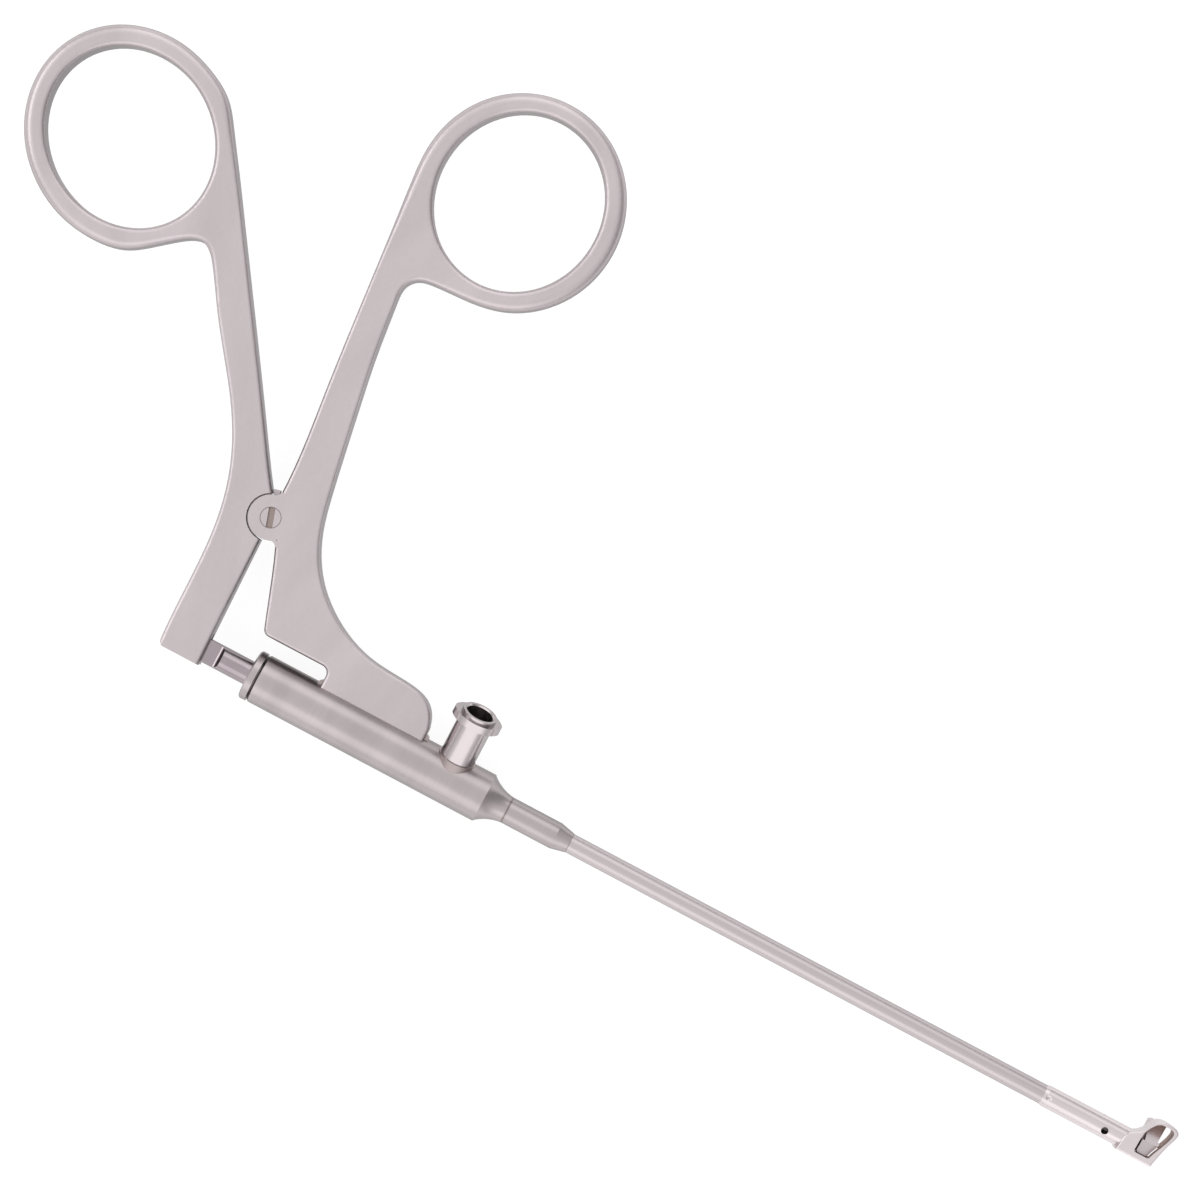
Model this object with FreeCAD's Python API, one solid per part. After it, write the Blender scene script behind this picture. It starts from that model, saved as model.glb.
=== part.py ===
import FreeCAD, Part
import math
import os
from FreeCAD import Vector

# An antrum punch: two ring handles, a long tubular shaft with a flushing port, and a swinging
# cutter at the tip. X runs along the shaft to the tip, Y from the shaft to the rings, Z up
# through the flat handles. The origin is the handle pivot, on the lower flat face.
# Sizes in millimetres.

# handles
handle_thick = 4.5
ear_thick = 1.35
running_gap = 0.05
ear_r = 3.5
ear_gap = 0.25
ear_recess_r = ear_r + ear_gap
ear_web_r = 0.9
tongue_r = 3.5
tongue_recess_r = tongue_r + running_gap
arm_round = 0.6
corner_round = 1.2
rim_round = 1.5
hole_round = 0.8
fork_end = -25.0
fork_corner_round = 0.8
closing_angle = 15.0

# pivot screw
screw_head_r = 1.6
screw_head_deep = 1.0
screw_shank_r = 1.25
screw_thread_r = 1.0
screw_slot_wide = 1.0
screw_slot_deep = 0.6
screw_slot_angle = 108.0

# finger rings: centre and half sizes of the hole, then of the outside
front_ring = (10.85, 60.1)
front_hole = (13.85, 12.85)
front_rim = (16.85, 16.3)
front_tilt = 90.0
rear_ring = (-46.1, 41.15)
rear_hole = (14.24, 12.55)
rear_rim = (17.6, 15.9)
rear_tilt = -34.0

# shaft axis and lever pin
shaft_y = -22.55
shaft_z = handle_thick / 2
pin_rest_x = -1.3
lever_pin_r = 0.8
lever_pin_stop = 0.5
tongue_thick = handle_thick - 2 * (ear_thick + running_gap)

# plunger and gland
plunger_r = 1.95
plunger_bore_r = plunger_r + running_gap
plunger_front = 33.0
tongue_back = 2.3
flat_end = 2.2
flat_runout = 1.2
cap_back = 8.2
cap_front = 9.4
spigot_r = 2.9
spigot_end = 12.6
seal_pocket = 2.2
washer_thick = 0.6

# barrel and sleeves along the shaft
barrel_back = 9.55
barrel_front = 48.7
barrel_r = 3.95
cap_r = barrel_r + 0.05
barrel_round = 0.3
foot_back = 18.65
foot_front = 36.4
braze_r = 0.6
chamber_back = 33.4
chamber_r = 2.7
nose_front = 52.6
nose_r = 2.15
sleeve_taper = 61.0
sleeve_front = 63.3
tube_r = 1.57
tube_wall = 0.37
tube_bore_r = tube_r - tube_wall
tube_back = 46.5
tube_front = 149.0
rod_r = 0.8
rod_front = 149.5

# luer port
port_x = 42.15
port_lean = 23.0
port_r = 2.78
port_top = 12.4
port_mouth_r = 2.135
port_taper = 0.03
port_deep = 7.5
port_bore_r = 1.3
lug_span = 7.8
lug_thick = 1.2
lug_drop = 0.6
lug_tip = 0.35
lug_ledge = 0.45
seam_wide = 0.22
seam_high = 0.12

# distal end piece
end_back = 145.1
end_wall = 0.15
end_r = tube_r + end_wall
end_bore_r = 1.27
plate_back = 158.5
plate_low = -1.5
plate_high = 1.8
flush_hole = (plate_back - 2.7, shaft_y - 0.4)
flush_hole_r = 0.57
weld_mark_x = 145.95
weld_mark_r = 0.5
weld_mark_deep = 0.16

# cutter and its cam drive
cutter_pivot_x = 154.9
cutter_angle = 20.0
cutter_pin_r = 0.4
tail_radius = 1.5
tail_end_r = 0.55
arm_front = 6.25
head_high = 3.6
head_fall = 1.5
head_level = 0.1
ridge = 1.1
drive_pin_r = 0.3
blade_thick = 0.7
blade_high = 1.9
blade_back = 147.0
tine_thick = 0.52
side_gap = 0.04
cam_gap = 0.02
arm_low = -1.4
arm_high = 0.35
fork_deep = 4.4
window_gap = 0.08
window_relief = 0.22
head_relief = 0.75
head_undercut = 1.1


def vec(point):
    return Vector(point[0], point[1], 0)


def edge_path(start, *legs):
    """Edges from start: a leg of one point is a line, of two an arc, of more a smooth curve."""
    edges = []
    here = vec(start)
    for leg in legs:
        points = [here] + [vec(p) for p in leg]
        if len(points) == 2:
            edges.append(Part.LineSegment(*points).toShape())
        elif len(points) == 3:
            edges.append(Part.Arc(*points).toShape())
        else:
            curve = Part.BSplineCurve()
            curve.interpolate(Points=points)
            edges.append(curve.toShape())
        here = points[-1]
    return edges


def smooth_edges(points, breaks):
    """One smooth curve through the points, parted into edges at the numbered points."""
    curve = Part.BSplineCurve()
    curve.interpolate(Points=[vec(p) for p in points])
    stops = [curve.parameter(vec(points[i])) for i in [0] + breaks + [len(points) - 1]]
    return [curve.toShape(a, b) for a, b in zip(stops, stops[1:])]


def slab(edges, low, high):
    """Flat solid between two heights with the given closed outline."""
    face = Part.Face(Part.Wire(edges))
    face.translate(Vector(0, 0, low))
    return face.extrude(Vector(0, 0, high - low))


def ellipse_slab(centre, half, tilt, low, high):
    """Upright elliptical disc; half holds the larger half size first."""
    curve = Part.Ellipse(Vector(0, 0, 0), half[0], half[1])
    face = Part.Face(Part.Wire([curve.toShape()]))
    face.rotate(Vector(0, 0, 0), Vector(0, 0, 1), tilt)
    face.translate(Vector(centre[0], centre[1], low))
    return face.extrude(Vector(0, 0, high - low))


def ellipse_points(centre, half, tilt, first, last, count):
    """Points round a tilted ellipse between two of its own angles in degrees."""
    points = []
    turn = math.radians(tilt)
    for i in range(count):
        a = math.radians(first + (last - first) * i / (count - 1))
        u, v = half[0] * math.cos(a), half[1] * math.sin(a)
        x = u * math.cos(turn) - v * math.sin(turn)
        y = u * math.sin(turn) + v * math.cos(turn)
        points.append((centre[0] + x, centre[1] + y))
    return points


def turned(outline):
    """Solid turned about the shaft axis from (x, radius) points."""
    points = [vec(p) for p in outline]
    face = Part.Face(Part.makePolygon(points + points[:1]))
    return on_shaft(face.revolve(Vector(0, 0, 0), Vector(1, 0, 0), 360))


def on_shaft(shape):
    """Move a shape drawn about the X axis onto the shaft axis."""
    shape.translate(Vector(0, shaft_y, shaft_z))
    return shape


def rod_x(radius, start, end):
    """Cylinder along the shaft axis."""
    return Part.makeCylinder(radius, end - start, Vector(start, shaft_y, shaft_z), Vector(1, 0, 0))


def post(radius, low, high, centre=(0, 0)):
    """Upright cylinder."""
    return Part.makeCylinder(radius, high - low, Vector(centre[0], centre[1], low))


def box(x0, x1, y0, y1, z0, z1):
    return Part.makeBox(x1 - x0, y1 - y0, z1 - z0, Vector(x0, y0, z0))


def shaft_box(x0, x1, half_wide, z0, z1):
    """Box centred on the shaft across Y, with heights counted from the shaft axis."""
    return box(x0, x1, shaft_y - half_wide, shaft_y + half_wide, shaft_z + z0, shaft_z + z1)


def round_edges(solid, radius, wanted):
    """Round the edges that the test picks."""
    edges = [e for e in solid.Edges if wanted(e)]
    return solid.makeFillet(radius, edges)


def round_handle(solid, wide_between):
    """Round both flat outlines: wide round the ring, narrow on the arm, easing between them.

    The square end of the fork stays crisp.
    """
    def radius_at(point):
        near = [math.hypot(point.x - x, point.y - y) < 0.01 for x, y in wide_between]
        return rim_round if any(near) else arm_round

    def wanted(edge):
        ends = [edge.valueAt(edge.FirstParameter), edge.valueAt(edge.LastParameter)]
        return flat_at(edge, 0, handle_thick) and max(end.y for end in ends) > fork_end + 0.01

    page = FreeCAD.newDocument("rounding")
    plain = page.addObject("Part::Feature", "plain")
    plain.Shape = solid
    rounded = page.addObject("Part::Fillet", "rounded")
    rounded.Base = plain
    rounded.Edges = [(number, radius_at(edge.valueAt(edge.FirstParameter)),
                      radius_at(edge.valueAt(edge.LastParameter)))
                     for number, edge in enumerate(solid.Edges, 1) if wanted(edge)]
    page.recompute()
    shape = rounded.Shape.copy()
    FreeCAD.closeDocument(page.Name)
    return shape


def flat_at(edge, *heights):
    """True when the whole edge lies at one of the heights."""
    bound = edge.BoundBox
    return any(abs(bound.ZMin - h) < 1e-4 and abs(bound.ZMax - h) < 1e-4 for h in heights)


def stands_at(edge, *places):
    """True for an upright edge that stands at one of the places."""
    bound = edge.BoundBox
    if bound.ZMax - bound.ZMin < handle_thick / 2:
        return False
    return any(math.hypot(bound.XMin - x, bound.YMin - y) < 0.01 for x, y in places)


def channel(points, radius):
    """Face of a slot with round ends along the arc through three points."""
    first, middle, last = [vec(p) for p in points]
    circle = Part.Arc(first, middle, last).toShape().Curve
    centre = circle.Center
    reach = circle.Radius

    def offset(point, amount):
        out = (point - centre).normalize()
        return centre + out * (reach + amount)

    def beyond(point, other):
        out = (point - centre).normalize()
        along = Vector(-out.y, out.x, 0)
        if along.dot(other - point) > 0:
            along = along * -1
        return point + along * radius

    outer = Part.Arc(offset(first, radius), offset(middle, radius), offset(last, radius))
    inner = Part.Arc(offset(last, -radius), offset(middle, -radius), offset(first, -radius))
    cap_last = Part.Arc(offset(last, radius), beyond(last, middle), offset(last, -radius))
    cap_first = Part.Arc(offset(first, -radius), beyond(first, middle), offset(first, radius))
    return Part.Face(Part.Wire([c.toShape() for c in (outer, cap_last, inner, cap_first)]))


# lever geometry: the pin starts as far below the shaft axis as it ends above it
def lever_pin_place():
    """Rest centre of the lever pin, and the shaft travel for the full closing angle."""
    turn = math.radians(closing_angle)
    drop = 0.5
    for _ in range(40):
        reach = math.hypot(pin_rest_x, shaft_y - drop)
        start = math.atan2(-pin_rest_x, -(shaft_y - drop))
        drop = (reach * math.cos(start) - reach * math.cos(start + turn)) / 2
    travel = reach * (math.sin(start + turn) - math.sin(start))
    return (pin_rest_x, shaft_y - drop), travel


lever_pin, rod_travel = lever_pin_place()


def lever_pin_at(share):
    """Lever pin in the plunger's own frame after a share of the closing angle."""
    turn = math.radians(closing_angle) * share
    x = lever_pin[0] * math.cos(turn) + lever_pin[1] * math.sin(turn)
    y = -lever_pin[0] * math.sin(turn) + lever_pin[1] * math.cos(turn)
    return (x + rod_travel * share, y)


def tail_at(share):
    """Cutter drive pin as (x, height above the shaft axis) after a share of the swing."""
    turn = math.radians(cutter_angle) * (share - 0.5)
    return (cutter_pivot_x - tail_radius * math.cos(turn), -tail_radius * math.sin(turn))


def cam_pin_at(share):
    """Cutter drive pin in the blade's own frame after a share of the swing."""
    x, height = tail_at(share)
    return (x + rod_travel * share, height)


def upright(face_or_solid):
    """Turn a shape drawn in the XY plane into the shaft's XZ plane."""
    face_or_solid.rotate(Vector(0, 0, 0), Vector(1, 0, 0), 90)
    return on_shaft(face_or_solid)


def across_shaft(edges, half_wide):
    """Solid of an outline drawn as (x, height), centred on the shaft across Y."""
    solid = slab(edges, -half_wide, half_wide)
    return upright(solid)


def y_post(radius, x, height, y0, y1):
    """Cylinder along Y at a place along the shaft; y counted from the shaft axis."""
    base = Vector(x, shaft_y + y0, shaft_z + height)
    return Part.makeCylinder(radius, y1 - y0, base, Vector(0, 1, 0))


def make_front_handle():
    """Fixed handle: ring, arm, two ears and the foot that sits on the barrel."""
    right = [(36.2, -16.6), (35.6, -15.1), (34.2, -13.6), (32.0, -12.75), (28.0, -12.35)]
    right += [(23.0, -11.8), (16.3, -9.0), (11.6, -5.0), (8.5, 0.0), (6.3, 8.0), (3.9, 21.0)]
    right += [(2.4, 30.0), (1.45, 38.0), (1.5, 40.6), (2.6, 42.1), (5.2, 42.85)]
    rim = ellipse_points(front_ring, front_rim, front_tilt, -176, 86, 15)
    left = [(-5.2, 55.5), (-4.6, 50.0), (-3.6, 40.0), (-1.6, 20.0), (-0.7, 12.0), (-0.35, 7.0)]
    left += [(-0.3, 2.4)]
    edges = edge_path((foot_front, -19.6), [(foot_front, -17.6)], [(36.38, -17.2), (36.2, -16.6)])
    outline = right + rim + left
    ring_first, ring_last = len(right) + 2, len(right) + len(rim) - 2
    edges += smooth_edges(outline, [len(right) - 4, ring_first, ring_last, len(right) + len(rim) + 2])
    edges += edge_path(left[-1], [(2.0, -2.2)], [(2.75, -3.9), (5.0, -9.8), (7.3, -16.2)],
                       [(foot_back, -16.2)], [(foot_back, -19.6)], [(foot_front, -19.6)])
    body = slab(edges, 0, handle_thick)
    body = round_edges(body, corner_round, lambda e: stands_at(e, (7.3, -16.2), (foot_back, -16.2)))
    body = round_handle(body, (outline[ring_first], outline[ring_last]))
    body = body.cut(ellipse_slab(front_ring, front_hole, front_tilt, 0, handle_thick))
    body = round_edges(body, hole_round, lambda e: is_ring_edge(e, front_hole))
    ears = post(ear_r, 0, handle_thick)
    ears = ears.fuse(ear_web(left[-1], left[-2])).fuse(ear_web((2.75, -3.9), (5.0, -9.8)))
    body = body.fuse(ears)
    slot = post(tongue_recess_r, ear_thick, handle_thick - ear_thick)
    lug = stop_lug(running_gap, closing_angle)
    body = body.cut(slot).cut(lug)
    body = body.cut(post(screw_head_r, handle_thick - screw_head_deep, handle_thick))
    body = body.cut(post(screw_shank_r, ear_thick, handle_thick))
    body = body.cut(post(screw_thread_r, 0, ear_thick))
    body = body.cut(rod_x(barrel_r, barrel_back, barrel_front))
    return body.removeSplitter()


def ear_web(start, onward):
    """Concave web between the ear and the edge of the arm that runs from start to onward."""
    along = (vec(onward) - vec(start)).normalize()
    outward = Vector(along.y, -along.x, 0)
    if outward.x > 0:
        outward = outward * -1
    base = vec(start) + outward * ear_web_r
    reach = ear_r + ear_web_r
    run = -base.dot(along) + math.sqrt(base.dot(along) ** 2 - base.dot(base) + reach ** 2)
    centre = base + along * run
    on_ear = centre * (ear_r / reach)
    on_arm = centre - outward * ear_web_r
    middle = centre - ((centre * (1 / reach) + outward).normalize()) * ear_web_r
    inside = on_arm - outward * 1.5
    edges = [Part.Arc(on_ear, middle, on_arm).toShape(), Part.LineSegment(on_arm, inside).toShape(),
             Part.LineSegment(inside, on_ear * 0.7).toShape(),
             Part.LineSegment(on_ear * 0.7, on_ear).toShape()]
    return slab(edges, 0, handle_thick)


def is_ring_edge(edge, half):
    """True for the two ellipses of a finger hole on the flat faces."""
    if not flat_at(edge, 0, handle_thick) or not hasattr(edge.Curve, "MajorRadius"):
        return False
    return abs(edge.Curve.MajorRadius - half[0]) < 0.01


def stop_lug(gap, sweep):
    """Closing stop beside the tongue; with a sweep, the pocket it moves in."""
    low = ear_thick + running_gap - gap
    high = handle_thick - low
    span = 14.0 + sweep
    margin = math.degrees(gap / 4.4)
    ring = post(4.4 + gap, low, high).cut(post(tongue_r - 0.3, low, high))
    a0 = math.radians(113 + margin)
    a1 = math.radians(113 - span - margin)
    reach = 8.0
    wedge = edge_path((0, 0), [(reach * math.cos(a1), reach * math.sin(a1))],
                      [(reach * math.cos(a0), reach * math.sin(a0))], [(0, 0)])
    return ring.common(slab(wedge, low, high))


def make_rear_handle():
    """Moving handle: ring, arm, tongue between the ears and the lever fork."""
    right = [(-1.25, 3.0), (-4.0, 6.9), (-7.0, 11.4), (-15.0, 23.3), (-25.0, 38.0)]
    right += [(-30.3, 45.8), (-33.0, 49.7)]
    rim = ellipse_points(rear_ring, rear_rim, rear_tilt, 84, 326, 15)
    left = [(-35.0, 28.4), (-32.2, 30.7), (-30.2, 31.95), (-28.8, 32.2), (-27.4, 31.5)]
    left += [(-25.9, 29.8), (-22.0, 24.0), (-13.0, 11.6), (-10.0, 6.0), (-8.1, 0.5)]
    left += [(-7.2, -4.0), (-6.55, -14.0), (-6.15, fork_end)]
    outline = right + rim + left
    ring_first, ring_last = len(right) + 2, len(right) + len(rim) - 2
    edges = smooth_edges(outline, [len(right) - 3, ring_first, ring_last, len(right) + len(rim) + 6])
    edges += edge_path(left[-1], [(0.7, fork_end)],
                       [(0.45, -17.0), (0.25, -9.0), (0.1, -3.0)], [right[0]])
    body = slab(edges, 0, handle_thick)
    body = round_handle(body, (outline[ring_first], outline[ring_last]))
    body = body.cut(ellipse_slab(rear_ring, rear_hole, rear_tilt, 0, handle_thick))
    body = round_edges(body, hole_round, lambda e: is_ring_edge(e, rear_hole))
    body = body.cut(fork_trim(left[-1][0]))
    body = body.cut(post(ear_recess_r, 0, handle_thick))
    low = ear_thick + running_gap
    disc = post(tongue_r, low, handle_thick - low)
    neck = post(4.0, low, handle_thick - low).common(box(-5, -1.2, -3.9, 3.2, 0, handle_thick))
    body = body.fuse(disc).fuse(neck).fuse(stop_lug(0, 0))
    body = body.cut(post(screw_shank_r + running_gap, 0, handle_thick))
    fork = box(lever_pin[0] - tongue_back - 0.9, 3, -28, shaft_y + plunger_r + 0.85,
               ear_thick, handle_thick - ear_thick)
    body = body.cut(fork)
    body = body.cut(post(lever_pin_r, 0, handle_thick - lever_pin_stop, lever_pin))
    return body.removeSplitter()


def fork_trim(left_x):
    """What is cut off at the fork's rear corner to leave it rounded."""
    turn_x, turn_y = left_x + fork_corner_round, fork_end + fork_corner_round
    corner = box(left_x - 2, turn_x, fork_end - 1, turn_y, 0, handle_thick)
    return corner.cut(post(fork_corner_round, 0, handle_thick, (turn_x, turn_y)))


def make_pivot_screw():
    """Pivot screw with a slotted cylindrical head, ground flush on both faces."""
    shaft = post(screw_thread_r, 0, ear_thick)
    shaft = shaft.fuse(post(screw_shank_r, ear_thick, handle_thick - screw_head_deep))
    head = post(screw_head_r, handle_thick - screw_head_deep, handle_thick)
    slot = box(-screw_head_r - 1, screw_head_r + 1, -screw_slot_wide / 2, screw_slot_wide / 2,
               handle_thick - screw_slot_deep, handle_thick + 1)
    slot.rotate(Vector(0, 0, 0), Vector(0, 0, 1), screw_slot_angle)
    return shaft.fuse(head).removeSplitter().cut(slot)


def make_plunger():
    """Thick rear part of the drive rod, with a flat slotted tongue in the lever fork."""
    back = lever_pin[0] - tongue_back
    rod = turned([(back, 0), (back, plunger_r), (plunger_front - 0.3, plunger_r),
                  (plunger_front, plunger_r - 0.3), (plunger_front, 0)])
    half = tongue_thick / 2
    for side in (1, -1):
        low = half * side
        high = (plunger_r + 0.5) * side
        arc_mid = (flat_end + flat_runout * 0.75, (half + flat_runout * 0.3) * side)
        arc_end = (flat_end + flat_runout, (half + flat_runout * 1.05) * side)
        edges = edge_path((back - 1, low), [(flat_end, low)], [arc_mid, arc_end],
                          [(arc_end[0], high)], [(back - 1, high)], [(back - 1, low)])
        rod = rod.cut(across_shaft(edges, plunger_r + 1))
    corner = post(plunger_r + 0.35, 0, handle_thick, (lever_pin[0], shaft_y))
    keep = corner.fuse(box(lever_pin[0], plunger_front + 1, shaft_y - 3, shaft_y + 3, -1, 6))
    rod = rod.common(keep)
    track = [lever_pin_at(0), lever_pin_at(0.5), lever_pin_at(1)]
    slot = channel(track, lever_pin_r + cam_gap).extrude(Vector(0, 0, handle_thick + 2))
    slot.translate(Vector(0, 0, -1))
    rod = rod.cut(slot)
    return rod.cut(rod_x(rod_r, plunger_front - 6, plunger_front + 1))


def make_rear_cap():
    """Gland nut on the back of the barrel."""
    ease = 0.25
    return turned([(cap_back, plunger_bore_r), (cap_back, cap_r - ease), (cap_back + ease, cap_r),
                   (cap_front, cap_r), (cap_front, spigot_r), (spigot_end, spigot_r),
                   (spigot_end, plunger_bore_r)])


def make_seal_washer():
    """Flat backing ring in front of the seal."""
    start = spigot_end + seal_pocket - washer_thick
    return turned([(start, plunger_bore_r), (start, spigot_r), (start + washer_thick, spigot_r),
                   (start + washer_thick, plunger_bore_r)])


def make_seal_ring():
    """Rubber ring round the plunger."""
    half = (spigot_r - plunger_r - 0.03) / 2
    width = seal_pocket - washer_thick
    centre = spigot_end + width / 2
    ring = Part.makeTorus(spigot_r - half, half, Vector(centre, shaft_y, shaft_z), Vector(1, 0, 0))
    return ring


def make_barrel():
    """Thick sleeve that carries the handle and the port."""
    pocket_end = spigot_end + seal_pocket
    body = turned([(barrel_back, spigot_r), (barrel_back, barrel_r - barrel_round),
                   (barrel_back + barrel_round, barrel_r), (barrel_front, barrel_r),
                   (barrel_front, chamber_r), (chamber_back, chamber_r),
                   (chamber_back - 0.3, plunger_bore_r),
                   (pocket_end, plunger_bore_r), (pocket_end, spigot_r)])
    return body.cut(port_cylinder(port_bore_r, 0, port_top))


def port_direction():
    lean = math.radians(port_lean)
    return Vector(0, math.cos(lean), math.sin(lean))


def port_point(reach):
    return Vector(port_x, shaft_y, shaft_z) + port_direction() * reach


def port_cylinder(radius, start, end):
    """Cylinder along the port axis, counted from the shaft axis."""
    return Part.makeCylinder(radius, end - start, port_point(start), port_direction())


def make_luer_port():
    """Female taper port with a two-lug flange."""
    tube = port_cylinder(port_r, 0, port_top)
    lug = lug_shape()
    tube = tube.fuse(lug).removeSplitter()
    inner_r = port_mouth_r - port_taper * port_deep
    taper = Part.makeCone(inner_r, port_mouth_r, port_deep, port_point(port_top - port_deep),
                          port_direction())
    mouth = Part.makeCone(port_mouth_r - 0.1, port_mouth_r + 0.2, 0.3, port_point(port_top - 0.3),
                          port_direction())
    tube = tube.cut(taper).cut(mouth).cut(port_cylinder(port_bore_r, 0, port_top))
    return tube.cut(rod_x(barrel_r, barrel_back, barrel_front))


def lug_shape():
    """Lens-shaped flange: wide along the shaft, as thick as the tube across it."""
    half = lug_span / 2
    narrow = port_r + lug_ledge
    edges = edge_path((-half, -lug_tip), [(0, -narrow), (half, -lug_tip)], [(half, lug_tip)],
                      [(0, narrow), (-half, lug_tip)], [(-half, -lug_tip)])
    solid = slab(edges, 0, lug_thick)
    solid.rotate(Vector(0, 0, 0), Vector(1, 0, 0), -(90 - port_lean))
    solid.translate(port_point(port_top - lug_drop - lug_thick))
    return solid


def make_port_weld():
    """Brazed seam round the foot of the port."""
    inside = rod_x(barrel_r, barrel_back, barrel_front)
    start = math.sqrt(barrel_r ** 2 - port_r ** 2) - 0.2
    seam = port_cylinder(port_r + seam_wide, start, barrel_r + seam_high)
    seam = seam.cut(inside).cut(port_cylinder(port_r, 0, port_top))
    return seam


def make_foot_braze():
    """Two small beads of braze at the ends of the handle's foot."""
    beads = []
    for x in (foot_back, foot_front):
        bead = post(braze_r, shaft_z - 1.5, shaft_z + 1.5, (x, shaft_y + barrel_r - 0.1))
        bead = bead.cut(box(foot_back, foot_front, -25, 0, -1, 6))
        beads.append(bead.cut(rod_x(barrel_r, barrel_back, barrel_front)))
    return Part.makeCompound(beads)


def make_nose():
    """Tapering nose that closes the barrel round the tube."""
    profile = edge_path((barrel_front - 3, tube_r), [(barrel_front - 3, chamber_r)],
                        [(barrel_front, chamber_r)], [(barrel_front, barrel_r - 0.1)],
                        [(50.4, 2.75), (nose_front, nose_r)], [(nose_front, tube_r)],
                        [(barrel_front - 3, tube_r)])
    face = Part.Face(Part.Wire(profile))
    return on_shaft(face.revolve(Vector(0, 0, 0), Vector(1, 0, 0), 360))


def make_sleeve():
    """Short reinforcing sleeve round the tube."""
    start = nose_front + 0.02
    return turned([(start, tube_r), (start, nose_r), (sleeve_taper, nose_r),
                   (sleeve_front, tube_r + 0.06), (sleeve_front, tube_r)])


def make_tube():
    """Long thin shaft tube."""
    return turned([(tube_back, tube_bore_r), (tube_back, tube_r), (tube_front, tube_r),
                   (tube_front, tube_bore_r)])


def make_pull_rod():
    """Thin rod through the tube, slit at the front for the blade."""
    rod = rod_x(rod_r, plunger_front - 6, rod_front)
    return rod.cut(shaft_box(blade_back, rod_front + 1, blade_thick / 2, -2, 2))


def at_tip(*points):
    """Points counted from the plate's back edge and the shaft axis."""
    return [(plate_back + x, shaft_y + y) for x, y in points]


def window_edges():
    """Outline of the cutting window."""
    return edge_path(at_tip((2.95, -1.1))[0], at_tip((4.7, -1.1)),
                     at_tip((5.1, -1.0), (5.25, -0.75)),
                     at_tip((5.75, 0.55), (6.32, 1.85), (6.7, 2.85), (6.9, 3.75)),
                     at_tip((6.75, 4.25), (6.3, 4.47)), at_tip((5.0, 4.5)),
                     at_tip((4.25, 4.28), (3.65, 3.7)), at_tip((3.0, 2.65), (2.68, 1.45)),
                     at_tip((2.6, -0.7)), at_tip((2.7, -0.98), (2.95, -1.1)))


def plate_edges():
    """Outline of the windowed end plate: a straight foot and one smooth curve round the rest."""
    curve = at_tip((6.4, -0.2), (7.0, 2.0), (7.55, 3.6), (7.6, 4.25), (7.2, 4.75), (6.2, 5.02),
                   (4.7, 5.0), (3.85, 4.6), (3.2, 3.6), (2.5, 2.45), (1.7, 1.8), (0.85, 1.3),
                   (0.3, 0.2), (0.15, -1.0), (-0.1, -2.05))
    return edge_path(curve[-1], at_tip((6.0, -2.05)), curve)


def make_end_piece():
    """Distal end piece: slotted sleeve and the plate with the cutting window."""
    sleeve = turned([(end_back, 0), (end_back, tube_r), (end_back + 0.15, end_r - 0.1),
                     (end_back + 0.6, end_r), (plate_back + 1.6, end_r), (plate_back + 1.6, 0)])
    plate = slab(plate_edges(), shaft_z + plate_low, shaft_z + plate_high)
    plate = round_edges(plate, 0.3, lambda e: flat_at(e, shaft_z + plate_high))
    body = sleeve.fuse(plate)
    window = slab(window_edges(), shaft_z + plate_low - 1, shaft_z + plate_high + 1)
    body = body.cut(window)
    body = body.cut(rod_x(tube_r, end_back - 1, tube_front))
    body = body.cut(rod_x(end_bore_r, tube_front - 1, plate_back - 2.5))
    half = blade_thick / 2 + tine_thick + 2 * side_gap
    body = body.cut(shaft_box(cutter_pivot_x - tail_radius - 1.3, plate_back + 2.7, half, -3, 1.05))
    body = body.cut(shaft_box(plate_back + 2.6, plate_back + 9, half, -3, arm_high + 0.06))
    body = body.cut(post(flush_hole_r, shaft_z + 0.8, shaft_z + 3, flush_hole))
    dent_r = (weld_mark_r ** 2 + weld_mark_deep ** 2) / (2 * weld_mark_deep)
    dent_z = shaft_z + end_r - weld_mark_deep + dent_r
    body = body.cut(Part.makeSphere(dent_r, Vector(weld_mark_x, shaft_y, dent_z)))
    for side in (1, -1):
        ends = sorted((half * side, 3 * side))
        body = body.cut(y_post(cutter_pin_r, cutter_pivot_x, 0, ends[0], ends[1]))
    return body.removeSplitter()


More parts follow.
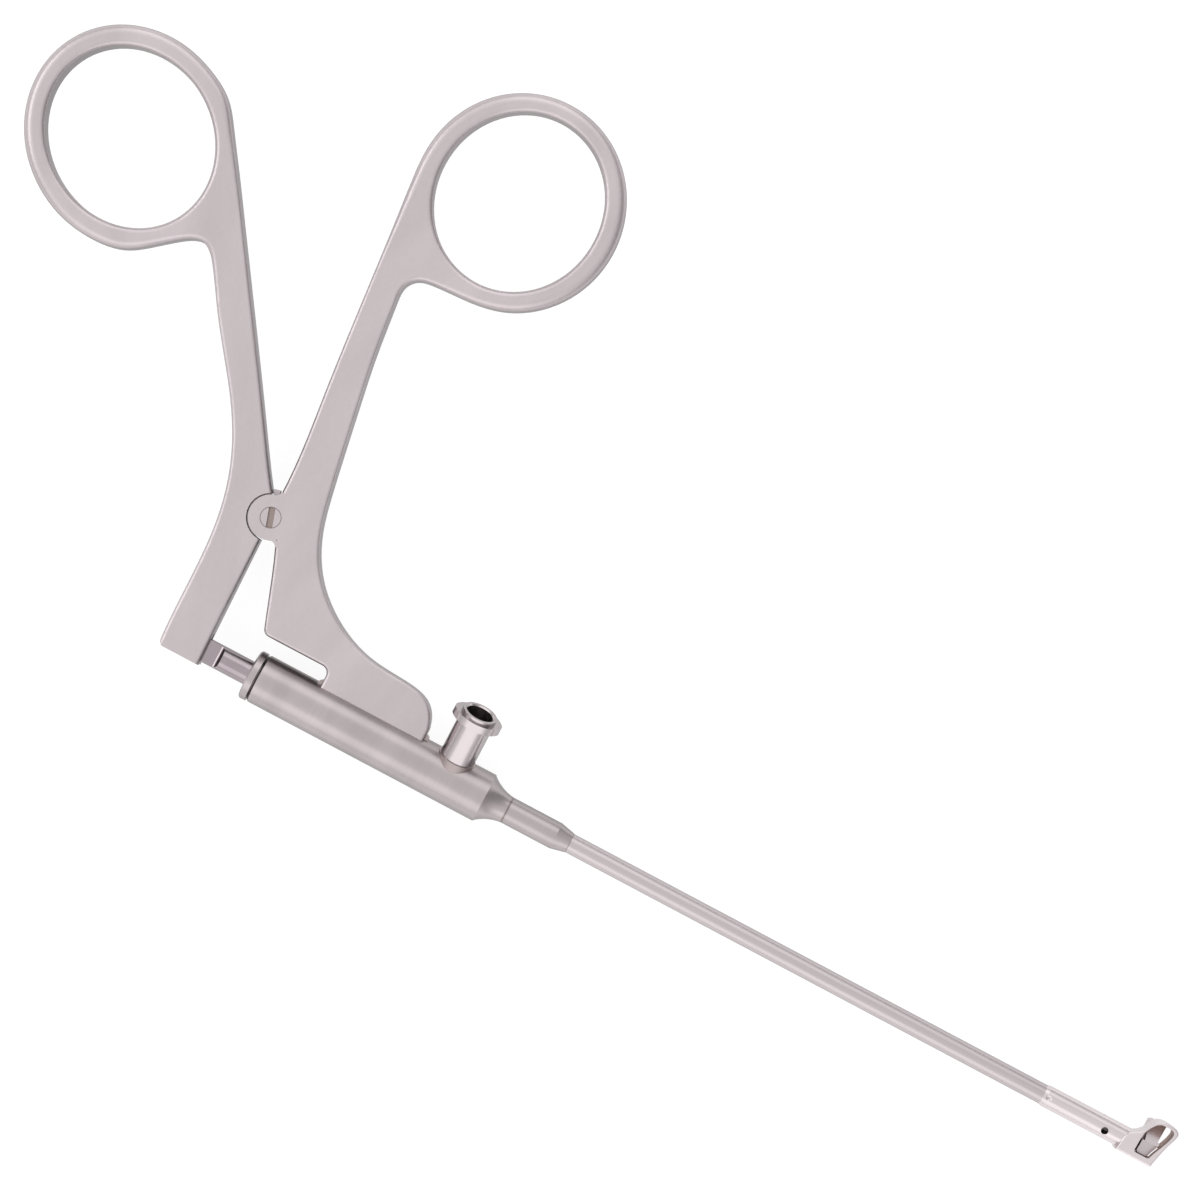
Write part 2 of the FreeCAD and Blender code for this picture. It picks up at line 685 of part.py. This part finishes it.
def make_cutter_closed():
    """Male cutter in its closed place: fork tail, arm and punching head."""
    half = blade_thick / 2 + tine_thick + side_gap
    arm_end = plate_back + arm_front
    tail_x, tail_height = tail_at(1)
    tail_low, tail_high = tail_height - tail_end_r, tail_height + tail_end_r
    edges = edge_path((tail_x, tail_low), [(tail_x - tail_end_r, tail_height), (tail_x, tail_high)],
                      [(cutter_pivot_x - 0.5, 0.66)],
                      [(cutter_pivot_x + 0.1, 0.8), (cutter_pivot_x + 0.7, 0.62)],
                      [(cutter_pivot_x + 2.2, arm_high)], [(arm_end, arm_high)],
                      [(arm_end - 0.3, arm_low)], [(cutter_pivot_x + 1.2, arm_low)],
                      [(cutter_pivot_x - 0.4, -0.95)], [(tail_x, tail_low)])
    arm = across_shaft(edges, half)
    fork = shaft_box(tail_x - 2, cutter_pivot_x + fork_deep, blade_thick / 2 + side_gap, -3, 3)
    arm = arm.cut(fork)
    head = slab(window_edges(), shaft_z + arm_low, shaft_z + head_high)
    inner = head.copy()
    for dx, dy in ((window_relief, window_gap), (-window_gap, window_gap),
                   (window_relief, -window_gap), (-window_gap, -window_gap)):
        moved = head.copy()
        moved.translate(Vector(dx, dy, 0))
        inner = inner.common(moved)
    run = 4.5 - ridge
    wedge = edge_path((ridge, 0), [(ridge + run, 0)], [(ridge + run, -head_fall)], [(ridge, 0)])
    slope = slab(wedge, 0, 12)
    slope.rotate(Vector(0, 0, 0), Vector(1, 1, 1), 120)
    slope.translate(Vector(plate_back, shaft_y, shaft_z + head_level))
    inner = inner.cut(swing(slope, -cutter_angle)).cut(head_back_cut())
    inner = inner.common(window_sweep()).cut(upper_step())
    cutter = arm.fuse(inner)
    cutter = cutter.cut(y_post(cutter_pin_r + cam_gap, cutter_pivot_x, 0, -3, 3))
    cutter = cutter.cut(y_post(drive_pin_r, tail_x, tail_height, -3, 3))
    return cutter.removeSplitter()


def window_sweep():
    """Room round the cutter pivot that stays clear of the window's front wall in the swing."""
    front = window_edges()[1:5]
    for edge in front:
        edge.translate(Vector(-window_gap, 0, shaft_z))
    first = front[0].valueAt(front[0].FirstParameter)
    last = front[-1].valueAt(front[-1].LastParameter)
    axis_low = Vector(cutter_pivot_x, first.y, shaft_z)
    axis_high = Vector(cutter_pivot_x, last.y, shaft_z)
    edges = [Part.LineSegment(axis_low, first).toShape()] + front
    edges += [Part.LineSegment(last, axis_high).toShape(), Part.LineSegment(axis_high, axis_low).toShape()]
    room = Part.Face(Part.Wire(edges)).revolve(axis_low, Vector(0, 1, 0), 360)
    level = box(-20, 20, -20, 20, head_level, 20)
    level.translate(Vector(cutter_pivot_x, shaft_y, shaft_z))
    return room.cut(swing(level, -cutter_angle))


def upper_step():
    """What is cut from the front of the head above its ridge, so that it lies back from the wall."""
    points = at_tip((6.4, ridge - 0.15), (5.15, ridge + 0.65), (5.95, 4.7), (8.5, 4.7), (8.5, ridge - 0.15))
    return slab(edge_path(points[0], *[[p] for p in points[1:] + points[:1]]), -5, shaft_z + head_high + 1)


def head_back_cut():
    """Slanted relief behind the upper part of the head, clear of the window's back bar."""
    left = plate_back + 2.5
    edges = edge_path((left - 1, head_high + 1), [(left + head_relief, head_high + 1)],
                      [(left + head_relief, arm_high)],
                      [(left + head_relief + head_undercut, arm_low - 0.1)],
                      [(left - 1, arm_low - 0.1)], [(left - 1, head_high + 1)])
    cutting = across_shaft(edges, 2.5)
    cutting.translate(Vector(0, ridge + 2.5, 0))
    return cutting


def swing(shape, angle):
    """Turn a shape about the cutter pivot; a positive angle opens it."""
    shape.rotate(Vector(cutter_pivot_x, shaft_y, shaft_z), Vector(0, 1, 0), angle)
    return shape


def make_cam_blade():
    """Flat blade with the slanted slot that swings the cutter."""
    track = [cam_pin_at(0), cam_pin_at(0.5), cam_pin_at(1)]
    front = track[2][0] + drive_pin_r + 0.4
    half = blade_high / 2
    edges = edge_path((blade_back, -rod_r), [(rod_front, -rod_r)], [(rod_front + 1.2, -half)],
                      [(front - 0.5, -half)], [(front, -half + 0.5)], [(front, half - 0.5)],
                      [(front - 0.5, half)], [(rod_front + 1.2, half)], [(rod_front, rod_r)],
                      [(blade_back, rod_r)], [(blade_back, -rod_r)])
    blade = across_shaft(edges, blade_thick / 2)
    slot = channel(track, drive_pin_r + cam_gap).extrude(Vector(0, 0, 4))
    slot.translate(Vector(0, 0, -2))
    return blade.cut(upright(slot))


def make_parts():
    """Every piece by name, in the rest pose."""
    half = blade_thick / 2 + tine_thick + side_gap
    tail_x, tail_height = tail_at(1)
    drive_pin = y_post(drive_pin_r, tail_x, tail_height, -half, half)
    studs = []
    for side in (1, -1):
        ends = sorted(((blade_thick / 2 + side_gap + 0.05) * side, (end_r - 0.1) * side))
        studs.append(y_post(cutter_pin_r, cutter_pivot_x, 0, ends[0], ends[1]))
    return {
        "front_handle": make_front_handle(),
        "rear_handle": make_rear_handle(),
        "pivot_screw": make_pivot_screw(),
        "lever_pin": post(lever_pin_r, 0, handle_thick - lever_pin_stop, lever_pin),
        "plunger": make_plunger(),
        "pull_rod": make_pull_rod(),
        "cam_blade": make_cam_blade(),
        "barrel": make_barrel(),
        "gland_nut": make_rear_cap(),
        "seal_ring": make_seal_ring(),
        "seal_washer": make_seal_washer(),
        "nose_cone": make_nose(),
        "reinforcing_sleeve": make_sleeve(),
        "shaft_tube": make_tube(),
        "window_jaw": make_end_piece(),
        "cutter": swing(make_cutter_closed(), cutter_angle),
        "cutter_drive_pin": swing(drive_pin, cutter_angle),
        "cutter_pivot_studs": Part.makeCompound(studs),
        "luer_port": make_luer_port(),
        "port_seam": make_port_weld(),
        "foot_braze": make_foot_braze(),
    }


os.makedirs("parts", exist_ok=True)
for name, shape in make_parts().items():
    if shape.ShapeType == "Compound" and len(shape.Solids) == 1:
        shape = shape.Solids[0]
    shape.exportStep("parts/" + name + ".step")
    print(name, len(shape.Solids), round(shape.Volume, 2), shape.isValid(), round(rod_travel, 4))
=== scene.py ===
import math

import bpy
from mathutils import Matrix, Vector


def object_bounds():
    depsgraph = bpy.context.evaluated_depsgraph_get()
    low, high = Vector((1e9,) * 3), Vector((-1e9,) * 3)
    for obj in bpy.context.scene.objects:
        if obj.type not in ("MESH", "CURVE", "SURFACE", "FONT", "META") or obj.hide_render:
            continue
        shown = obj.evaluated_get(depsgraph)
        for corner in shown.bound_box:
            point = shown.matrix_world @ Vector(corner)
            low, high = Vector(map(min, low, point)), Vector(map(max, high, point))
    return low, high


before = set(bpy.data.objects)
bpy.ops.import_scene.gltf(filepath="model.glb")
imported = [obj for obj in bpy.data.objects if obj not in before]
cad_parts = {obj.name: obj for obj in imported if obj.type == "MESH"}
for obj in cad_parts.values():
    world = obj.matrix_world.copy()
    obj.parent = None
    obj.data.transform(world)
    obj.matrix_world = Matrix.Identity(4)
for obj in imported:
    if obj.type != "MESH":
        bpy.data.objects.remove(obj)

# Sizes are in metres. X runs along the shaft to the tip, Y toward the finger rings, Z up.
cad_box = [list(corner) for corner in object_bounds()]
lowest = cad_box[0][2]
middle = Vector((0.05, 0.01, 0.0))   # about the punch's middle, where the lamps aim

# What the picture shows
shaft_turn = math.radians(27.95)   # how far the shaft lies turned in the picture
camera_place = (0.0501, 0.0124, 0.5345)
picture_width = 0.1824             # what the picture takes in at the handles' top face
picture_reach = 0.530              # from the camera down to that face

# Places on the punch that a finish needs
front_arm_turn = math.radians(-12)
rear_arm_turn = math.radians(20)
handle_top = 0.0044                # just under the handles' top face
screw_head_r = 0.0016
nose_front = 0.0526
sleeve_front = 0.0633
head_back = 0.1582                 # behind it the cutter lies inside the end sleeve
window_middle = (0.1632, -0.0208)
window_half = 0.0025
gap_top = 0.0028                   # the gap in front of the cutter gets painted shadow below this height
gap_side = -0.0221                 # and from here to the side away from the rings

# Soft edges of the masks
fine_edge = 0.00002
soft_edge = 0.0001


def new_group(name, inputs, outputs):
    group = bpy.data.node_groups.new(name, "ShaderNodeTree")
    for label, kind, value in inputs:
        socket = group.interface.new_socket(label, in_out="INPUT", socket_type=kind)
        if value is not None:
            socket.default_value = value
    for label, kind in outputs:
        group.interface.new_socket(label, in_out="OUTPUT", socket_type=kind)
    return group, group.nodes.new("NodeGroupInput"), group.nodes.new("NodeGroupOutput")


def math_node(tree, operation, first, second=None, third=None):
    node = tree.nodes.new("ShaderNodeMath")
    node.operation = operation
    for socket, value in zip(node.inputs, (first, second, third)):
        if value is None:
            continue
        if isinstance(value, (int, float)):
            socket.default_value = value
        else:
            tree.links.new(value, socket)
    return node.outputs[0]


def map_range(tree, value, limits, smooth=False):
    """A Map Range node fed by value, with its limits given by their labels."""
    node = tree.nodes.new("ShaderNodeMapRange")
    if smooth:
        node.interpolation_type = "SMOOTHSTEP"
    for label, limit in limits.items():
        node.inputs[label].default_value = limit
    tree.links.new(value, node.inputs["Value"])
    return node


def scaled(tree, colour, share):
    """The colour times a share."""
    node = tree.nodes.new("ShaderNodeVectorMath")
    node.operation = "SCALE"
    tree.links.new(colour, node.inputs[0])
    tree.links.new(share, node.inputs["Scale"])
    return node.outputs[0]


def noise(tree, place, scale, detail, roughness=0.5):
    node = tree.nodes.new("ShaderNodeTexNoise")
    node.inputs["Scale"].default_value = scale
    node.inputs["Detail"].default_value = detail
    node.inputs["Roughness"].default_value = roughness
    tree.links.new(place, node.inputs["Vector"])
    return node.outputs["Fac"]


def make_steel_grain():
    """Fine ground lines and faint cloudiness, as tint, roughness and height."""
    line_scale, line_detail, line_roughness = 1.0, 3, 0.65
    cloud_scale, cloud_detail = 0.035, 3
    middle_grey = 0.5              # the noise spreads evenly round it
    group, given, out = new_group(
        "steel_grain",
        [("Place", "NodeSocketVector", None), ("Steel", "NodeSocketColor", (0.6, 0.6, 0.6, 1)),
         ("Roughness", "NodeSocketFloat", 0.35), ("Line Tint", "NodeSocketFloat", 0.08),
         ("Cloud Tint", "NodeSocketFloat", 0.05), ("Roughness Spread", "NodeSocketFloat", 0.1)],
        [("Steel", "NodeSocketColor"), ("Roughness", "NodeSocketFloat"), ("Height", "NodeSocketFloat")])
    place = given.outputs["Place"]
    lines = noise(group, place, line_scale, line_detail, line_roughness)
    clouds = noise(group, place, cloud_scale, cloud_detail)
    line_swing = math_node(group, "SUBTRACT", lines, middle_grey)
    cloud_swing = math_node(group, "SUBTRACT", clouds, middle_grey)
    line_tint = math_node(group, "MULTIPLY_ADD", line_swing, given.outputs["Line Tint"], 1.0)
    tint = math_node(group, "MULTIPLY_ADD", cloud_swing, given.outputs["Cloud Tint"], line_tint)
    rough = math_node(group, "MULTIPLY_ADD", line_swing, given.outputs["Roughness Spread"],
                      given.outputs["Roughness"])
    group.links.new(scaled(group, given.outputs["Steel"], tint), out.inputs["Steel"])
    group.links.new(rough, out.inputs["Roughness"])
    group.links.new(lines, out.inputs["Height"])
    return group


def make_painted_wall_shade():
    """Painted shade: darker steel on the upright walls, by how upright they stand."""
    lying_flat = 0.95              # from this upward share of the facing on, a face counts as flat
    group, given, out = new_group(
        "painted_wall_shade",
        [("Steel", "NodeSocketColor", (0.6, 0.6, 0.6, 1)), ("Facing", "NodeSocketVector", None),
         ("Wall Shade Level", "NodeSocketFloat", 0.5)],
        [("Steel", "NodeSocketColor")])
    facing = group.nodes.new("ShaderNodeSeparateXYZ")
    group.links.new(given.outputs["Facing"], facing.inputs[0])
    upward = math_node(group, "ABSOLUTE", facing.outputs["Z"])
    level = map_range(group, upward, {"From Max": lying_flat}, smooth=True)
    group.links.new(given.outputs["Wall Shade Level"], level.inputs["To Min"])
    group.links.new(scaled(group, given.outputs["Steel"], level.outputs["Result"]), out.inputs["Steel"])
    return group


steel_grain = make_steel_grain()
painted_wall_shade = make_painted_wall_shade()
relief_depth = 0.00002


def steel(name, colour, roughness, stretch=(900, 900, 900), turn=0, line_tint=0.12,
          cloud_tint=0.3, spread=0.1, bump=0.1, wall_shade_level=0.3):
    """A steel finish with painted shade on its upright walls; stretch gives the grain's lines per metre along
    X, Y and Z after the turn.
    """
    material = bpy.data.materials.new(name)
    material.use_nodes = True
    tree = material.node_tree
    shader = tree.nodes["Principled BSDF"]
    shader.inputs["Metallic"].default_value = 1.0
    place = tree.nodes.new("ShaderNodeTexCoord")
    turned = tree.nodes.new("ShaderNodeMapping")
    turned.vector_type = "TEXTURE"
    turned.inputs["Rotation"].default_value = (0, 0, turn)
    turned.inputs["Scale"].default_value = [1 / count for count in stretch]
    grain = tree.nodes.new("ShaderNodeGroup")
    grain.node_tree = steel_grain
    for label, value in (("Steel", (*colour, 1)), ("Roughness", roughness), ("Line Tint", line_tint),
                         ("Cloud Tint", cloud_tint), ("Roughness Spread", spread)):
        grain.inputs[label].default_value = value
    relief = tree.nodes.new("ShaderNodeBump")
    relief.inputs["Strength"].default_value = bump
    relief.inputs["Distance"].default_value = relief_depth
    tree.links.new(place.outputs["Object"], turned.inputs["Vector"])
    tree.links.new(turned.outputs[0], grain.inputs["Place"])
    # Painted shade on the upright walls, deeper the more upright they stand
    walls = tree.nodes.new("ShaderNodeGroup")
    walls.node_tree = painted_wall_shade
    walls.inputs["Wall Shade Level"].default_value = wall_shade_level
    tree.links.new(place.outputs["Normal"], walls.inputs["Facing"])
    tree.links.new(grain.outputs["Steel"], walls.inputs["Steel"])
    tree.links.new(walls.outputs["Steel"], shader.inputs["Base Color"])
    tree.links.new(grain.outputs["Roughness"], shader.inputs["Roughness"])
    tree.links.new(grain.outputs["Height"], relief.inputs["Height"])
    tree.links.new(relief.outputs[0], shader.inputs["Normal"])
    return material


def tint_where(material, inside, tint):
    """Multiply the steel's colour by tint wherever the mask built by inside(tree) is 1."""
    tree = material.node_tree
    shader = tree.nodes["Principled BSDF"]
    mix = tree.nodes.new("ShaderNodeMix")
    mix.data_type, mix.blend_type = "RGBA", "MULTIPLY"
    tree.links.new(shader.inputs["Base Color"].links[0].from_socket, mix.inputs["A"])
    mix.inputs["B"].default_value = (*tint, 1)
    tree.links.new(inside(tree), mix.inputs["Factor"])
    tree.links.new(mix.outputs["Result"], shader.inputs["Base Color"])


def roughen_where(material, inside, extra):
    """Add to the roughness wherever the mask built by inside(tree) is 1."""
    tree = material.node_tree
    shader = tree.nodes["Principled BSDF"]
    smooth = shader.inputs["Roughness"].links[0].from_socket
    tree.links.new(math_node(tree, "MULTIPLY_ADD", inside(tree), extra, smooth), shader.inputs["Roughness"])


def part_of(tree, output, axis):
    """One coordinate of the place or the facing in the punch's own frame."""
    split = tree.nodes.new("ShaderNodeSeparateXYZ")
    tree.links.new(tree.nodes["Texture Coordinate"].outputs[output], split.inputs[0])
    return split.outputs[axis]


def ramp(tree, value, start, end):
    """0 at start and 1 at end, straight between them and level outside."""
    return map_range(tree, value, {"From Min": start, "From Max": end}).outputs["Result"]


def under(axis, limit, edge):
    """The part of the punch that lies under a limit along one axis."""
    return lambda tree: ramp(tree, part_of(tree, "Object", axis), limit + edge, limit - edge)


def below(height):
    return under("Z", height, fine_edge)


def behind(limit):
    return under("X", limit, soft_edge)


def low_side(limit):
    return under("Y", limit, soft_edge)


def round_line(x, half=0.0002, full=0.5):
    """A thin line round the shaft at x; full is the share of its half width that isn't faded."""
    def mask(tree):
        off = math_node(tree, "ABSOLUTE", math_node(tree, "SUBTRACT", part_of(tree, "Object", "X"), x))
        return ramp(tree, off, half, half * full)
    return mask


def ring_on_top(radius, height, half=0.00008, full=0.6):
    """A thin ring round the pivot axis, on the face above a height."""
    def mask(tree):
        x, y = part_of(tree, "Object", "X"), part_of(tree, "Object", "Y")
        squares = math_node(tree, "MULTIPLY_ADD", x, x, math_node(tree, "MULTIPLY", y, y))
        far = math_node(tree, "SQRT", squares)
        off = math_node(tree, "ABSOLUTE", math_node(tree, "SUBTRACT", far, radius))
        top = ramp(tree, part_of(tree, "Object", "Z"), height - fine_edge, height + fine_edge)
        return math_node(tree, "MULTIPLY", ramp(tree, off, half, half * full), top)
    return mask


def both(first, second):
    return lambda tree: math_node(tree, "MULTIPLY", first(tree), second(tree))


def window_walls(tree):
    """The upright walls that face the middle of the window."""
    turned_away, turned_in = 0.0002, 0.0004   # distance from the middle times the facing toward it
    x, y = window_middle
    away_x = math_node(tree, "SUBTRACT", x, part_of(tree, "Object", "X"))
    away_y = math_node(tree, "SUBTRACT", y, part_of(tree, "Object", "Y"))
    face_x, face_y = part_of(tree, "Normal", "X"), part_of(tree, "Normal", "Y")
    inward = math_node(tree, "MULTIPLY_ADD", away_x, face_x, math_node(tree, "MULTIPLY", away_y, face_y))
    back = x - window_half
    in_window = ramp(tree, part_of(tree, "Object", "X"), back - soft_edge, back + soft_edge)
    return math_node(tree, "MULTIPLY", ramp(tree, inward, turned_away, turned_in), in_window)


# Colours of the steel, by how it is finished; the cam blade's colour is painted shade
satin = (0.66, 0.595, 0.61)
handle_satin = (0.70, 0.63, 0.648)
barrel_satin = (0.57, 0.51, 0.518)
jaw_bright = (0.84, 0.76, 0.775)
rod_bright = (0.70, 0.645, 0.66)
plunger_polish = (0.46, 0.40, 0.425)
# Painted shade: the blade inside the bore is coloured almost black
painted_shade_blade = (0.12, 0.11, 0.11)
braze = (0.48, 0.41, 0.40)
black_rubber = (0.03, 0.03, 0.03)

# What multiplies a colour on part of a piece: painted shade, except the joint line, which is a real dark
# joint
painted_slot_shade_tint = (0.62, 0.56, 0.50)
painted_screw_gap_shade_tint = (0.45, 0.42, 0.42)
joint_line_tint = (0.6, 0.56, 0.55)
painted_sleeve_shade_tint = (0.12, 0.12, 0.12)
painted_window_wall_shade_tint = (0.85, 0.72, 0.63)
painted_gap_shadow_tint = (0.12, 0.11, 0.11)
window_wall_roughness = 0.3

# Lines of grain per metre along X, Y and Z
along_arm = (4000, 900, 4000)
round_barrel = (5000, 250, 250)
round_collar = (6000, 300, 300)
along_tube = (300, 4000, 4000)
across_tip = (900, 5000, 900)
over_blade = (900, 900, 5000)
fine_turned = (3000, 3000, 3000)
braze_grain = (2500, 2500, 2500)


def seam(name):
    return steel(name, braze, 0.4, braze_grain, wall_shade_level=0.8)


def make_seal_rubber():
    material = bpy.data.materials.new("seal_rubber_black")
    material.use_nodes = True
    shader = material.node_tree.nodes["Principled BSDF"]
    shader.inputs["Base Color"].default_value = (*black_rubber, 1)
    shader.inputs["Roughness"].default_value = 0.6
    return material


finishes = {
    "front_handle": steel("satin_front_handle", handle_satin, 0.40, along_arm, front_arm_turn),
    "rear_handle": steel("satin_rear_handle", handle_satin, 0.40, along_arm, rear_arm_turn),
    "barrel": steel("turned_barrel", barrel_satin, 0.34, round_barrel, line_tint=0.16, cloud_tint=0.4),
    "gland_nut": steel("turned_gland_nut", barrel_satin, 0.32, round_collar),
    "nose_cone": steel("turned_nose_cone", barrel_satin, 0.32, round_collar),
    "reinforcing_sleeve": steel("turned_sleeve", barrel_satin, 0.33, round_barrel),
    "shaft_tube": steel("drawn_tube", satin, 0.33, along_tube, line_tint=0.06, wall_shade_level=0.5),
    "luer_port": steel("polished_port", satin, 0.24, line_tint=0.04, spread=0.05, bump=0.03),
    "window_jaw": steel("ground_jaw", jaw_bright, 0.29, across_tip, line_tint=0.05, wall_shade_level=0.7),
    "cutter": steel("ground_cutter", satin, 0.28, across_tip, line_tint=0.05, wall_shade_level=0.85),
    "plunger": steel("polished_plunger", plunger_polish, 0.20, round_barrel, bump=0.05),
    "pull_rod": steel("drawn_pull_rod", rod_bright, 0.25, along_tube),
    "cam_blade": steel("ground_cam_blade", painted_shade_blade, 0.3, over_blade),
    "pivot_screw": steel("turned_screw", handle_satin, 0.34, fine_turned),
    "lever_pin": steel("turned_lever_pin", satin, 0.3),
    "cutter_drive_pin": steel("turned_drive_pin", satin, 0.3),
    "cutter_pivot_studs": steel("turned_pivot_studs", satin, 0.3),
    "port_seam": seam("brazed_port_seam"),
    "foot_braze": seam("brazed_foot_seam"),
    "seal_washer": steel("turned_washer", satin, 0.35),
    "seal_ring": make_seal_rubber(),
}

# Painted shade in the screw's slot, on all of the screw below the handles' top face
tint_where(finishes["pivot_screw"], below(handle_top), painted_slot_shade_tint)
# Painted shade: a dark ring on the top faces round the screw head, where the gap to the handle is
for node in ("pivot_screw", "front_handle"):
    tint_where(finishes[node], ring_on_top(screw_head_r, handle_top), painted_screw_gap_shade_tint)
# Painted shade on the cutter where it lies inside the end sleeve
tint_where(finishes["cutter"], behind(head_back), painted_sleeve_shade_tint)
# Painted shadow: the window walls low down and on the side away from the rings are coloured almost black
painted_gap_shadow = both(window_walls, both(below(gap_top), low_side(gap_side)))
# Painted shade: the walls inside the window are tinted darker and brown
tint_where(finishes["window_jaw"], window_walls, painted_window_wall_shade_tint)
tint_where(finishes["window_jaw"], painted_gap_shadow, painted_gap_shadow_tint)
roughen_where(finishes["window_jaw"], window_walls, window_wall_roughness)
for node, joint in (("nose_cone", nose_front), ("reinforcing_sleeve", nose_front),
                    ("shaft_tube", sleeve_front)):
    tint_where(finishes[node], round_line(joint), joint_line_tint)

for node, material in finishes.items():
    solid = bpy.data.objects[node]
    solid.data.materials.clear()
    solid.data.materials.append(material)


def grey_surface(tree, level):
    node = tree.nodes.new("ShaderNodeBsdfDiffuse")
    node.inputs["Color"].default_value = (level, level, level, 1)
    return node.outputs[0]


def make_table():
    """White table that keeps the punch's soft shadow."""
    width, gap = 6.0, 0.0001       # it lies just under the lowest point
    pale, shaded, glow_level = 0.82, 0.3, 0.84
    bpy.ops.mesh.primitive_plane_add(size=width, location=(middle.x, middle.y, lowest - gap))
    table = bpy.context.object
    table.name = "table_top"
    material = bpy.data.materials.new("white_table")
    material.use_nodes = True
    tree = material.node_tree
    tree.nodes.remove(tree.nodes["Principled BSDF"])
    path = tree.nodes.new("ShaderNodeLightPath").outputs
    glow = tree.nodes.new("ShaderNodeEmission")
    glow.inputs["Strength"].default_value = glow_level
    seen = tree.nodes.new("ShaderNodeAddShader")
    tree.links.new(grey_surface(tree, shaded), seen.inputs[0])
    tree.links.new(glow.outputs[0], seen.inputs[1])
    direct = math_node(tree, "MAXIMUM", path["Is Camera Ray"], path["Is Glossy Ray"])
    direct = math_node(tree, "MAXIMUM", direct, path["Is Transmission Ray"])
    pick = tree.nodes.new("ShaderNodeMixShader")
    tree.links.new(direct, pick.inputs[0])
    tree.links.new(grey_surface(tree, pale), pick.inputs[1])
    tree.links.new(seen.outputs[0], pick.inputs[2])
    tree.links.new(pick.outputs[0], tree.nodes["Material Output"].inputs["Surface"])
    table.data.materials.append(material)


def make_world():
    """A pale room, dimmer near the floor and toward the picture's right."""
    dark_side = shaft_turn + math.radians(8)
    world = bpy.data.worlds.new("soft_room")
    bpy.context.scene.world = world
    world.use_nodes = True
    tree = world.node_tree
    toward = tree.nodes.new("ShaderNodeTexCoord").outputs["Generated"]
    height = tree.nodes.new("ShaderNodeSeparateXYZ")
    tree.links.new(toward, height.inputs[0])
    room = map_range(tree, height.outputs["Z"], {"From Max": 0.55, "To Min": 0.5, "To Max": 0.8}, smooth=True)
    right = tree.nodes.new("ShaderNodeVectorMath")
    right.operation = "DOT_PRODUCT"
    right.inputs[1].default_value = (math.cos(dark_side), math.sin(dark_side), 0)
    tree.links.new(toward, right.inputs[0])
    dim = map_range(tree, right.outputs["Value"],
                    {"From Min": 0.25, "From Max": 0.95, "To Min": 1.0, "To Max": 0.45}, smooth=True)
    level = math_node(tree, "MULTIPLY", room.outputs["Result"], dim.outputs["Result"])
    background = tree.nodes["Background"]
    background.inputs["Color"].default_value = (1, 1, 1, 1)
    tree.links.new(level, background.inputs["Strength"])


def beside(turn, rise, away=1.1):
    """A place round the punch; turn is counted from the picture's right, rise from the table."""
    turn, rise = math.radians(turn) + shaft_turn, math.radians(rise)
    return Vector((math.cos(turn) * math.cos(rise), math.sin(turn) * math.cos(rise), math.sin(rise))) * away


def softbox(name, place, width, height, radiance):
    """A soft lamp that shines on the punch evenly with the given brightness."""
    lamp = bpy.data.lights.new(name, "AREA")
    lamp.shape = "RECTANGLE"
    lamp.size, lamp.size_y = width, height
    lamp.energy = radiance * width * height * math.pi
    holder = bpy.data.objects.new(name, lamp)
    holder.location = place
    holder.rotation_euler = (middle - place).to_track_quat("-Z", "Y").to_euler()
    bpy.context.collection.objects.link(holder)


def make_camera():
    eye = bpy.data.cameras.new("overhead_camera")
    eye.sensor_width = 36.0
    eye.lens = eye.sensor_width * picture_reach / picture_width
    eye.clip_start, eye.clip_end = 0.02, 20.0
    holder = bpy.data.objects.new("overhead_camera", eye)
    holder.location = camera_place
    holder.rotation_euler = (0, 0, shaft_turn)
    bpy.context.collection.objects.link(holder)
    bpy.context.scene.camera = holder


make_table()
make_world()
softbox("lower_box", beside(250, 30), width=1.6, height=1.0, radiance=0.42)
softbox("left_box", beside(155, 38), width=0.8, height=0.35, radiance=1.5)
softbox("upper_box", beside(68, 36), width=1.2, height=0.75, radiance=0.5)
make_camera()

view = bpy.context.scene.view_settings
view.view_transform = "Standard"
